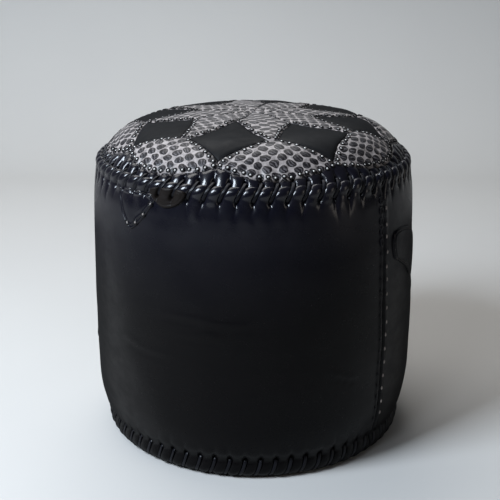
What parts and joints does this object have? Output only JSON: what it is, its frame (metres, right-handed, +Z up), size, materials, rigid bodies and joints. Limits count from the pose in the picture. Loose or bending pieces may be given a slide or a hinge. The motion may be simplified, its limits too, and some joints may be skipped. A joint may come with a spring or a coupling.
{
  "type": "leather floor pouf",
  "caption": "Round stuffed leather floor pouf with a snakeskin star patchwork crown, laced rims, upright side seams and a zip in its base.",
  "frame": {"origin": "on the floor, under the centre of the drum", "axes": "+Z up along the drum's axis; the front, with the side seam at its right, is towards -Y; +X to the right; the base zip lies along X"},
  "size_m": [0.46, 0.46, 0.4558],
  "materials": {
    "snakeskin": "embossed snakeskin print, satin",
    "matte_leather": "matte black",
    "leather": "glossy waxed black",
    "patch_leather": "worn dark brown",
    "thong": "glossy black thong",
    "thread": "waxed thread knots",
    "zip_tape": "woven tape",
    "zip_metal": "aged brass",
    "foam": "open-cell foam",
    "wadding": "polyester wadding",
    "cotton": "unbleached cotton"
  },
  "bodies": {
    "pouf": {"crown_star_point_1": "snakeskin", "crown_star_point_2": "snakeskin", "crown_star_point_3": "snakeskin", "crown_star_point_4": "snakeskin", "crown_star_point_5": "snakeskin", "crown_star_point_6": "snakeskin", "crown_star_point_7": "snakeskin", "crown_star_point_8": "snakeskin", "crown_kite_1": "snakeskin", "crown_kite_2": "snakeskin", "crown_kite_3": "snakeskin", "crown_kite_4": "snakeskin", "crown_kite_5": "snakeskin", "crown_kite_6": "snakeskin", "crown_kite_7": "snakeskin", "crown_kite_8": "snakeskin", "crown_square_1": "matte_leather", "crown_square_2": "matte_leather", "crown_square_3": "matte_leather", "crown_square_4": "matte_leather", "crown_square_5": "matte_leather", "crown_square_6": "matte_leather", "crown_square_7": "matte_leather", "crown_square_8": "matte_leather", "crown_border": "leather", "side_panel_front": "leather", "side_panel_back": "leather", "side_seam_strip_right": "leather", "side_seam_strip_left": "leather", "side_patch_shield": "leather", "side_patch_leaf": "leather", "crown_rim_welt": "leather", "base_rim_welt": "leather", "base_panel_front": "leather", "base_panel_back": "leather", "side_patch_small": "patch_leather", "side_seam_thong_right": "thong", "side_seam_thong_left": "thong", "crown_rim_lacing": "thong", "base_rim_lacing": "thong", "crown_stitches": "thread", "side_patch_stitches": "thread", "zip_tape_front": "zip_tape", "zip_tape_back": "zip_tape", "zip_teeth_front": "zip_metal", "zip_teeth_back": "zip_metal", "zip_stop_open_end": "zip_metal", "zip_stop_closed_end": "zip_metal", "foam_core": "foam", "wadding_sleeve": "wadding", "crown_pad": "wadding", "liner_side": "cotton", "liner_crown": "cotton", "liner_base": "cotton"},
    "zip_slider": {"zip_slider": "zip_metal"},
    "zip_pull": {"zip_pull": "zip_metal"}
  },
  "joints": [
    {"name": "zip_run", "type": "slide", "parent": "pouf", "child": "zip_slider", "axis": [-1, 0, 0], "range_m": [0, 0.254]},
    {"name": "pull_swing", "type": "hinge", "parent": "zip_slider", "child": "zip_pull", "pos_m": [0.1242, 0, 0.0055], "axis": [0, 1, 0], "range_deg": [-160, 10]}
  ]
}
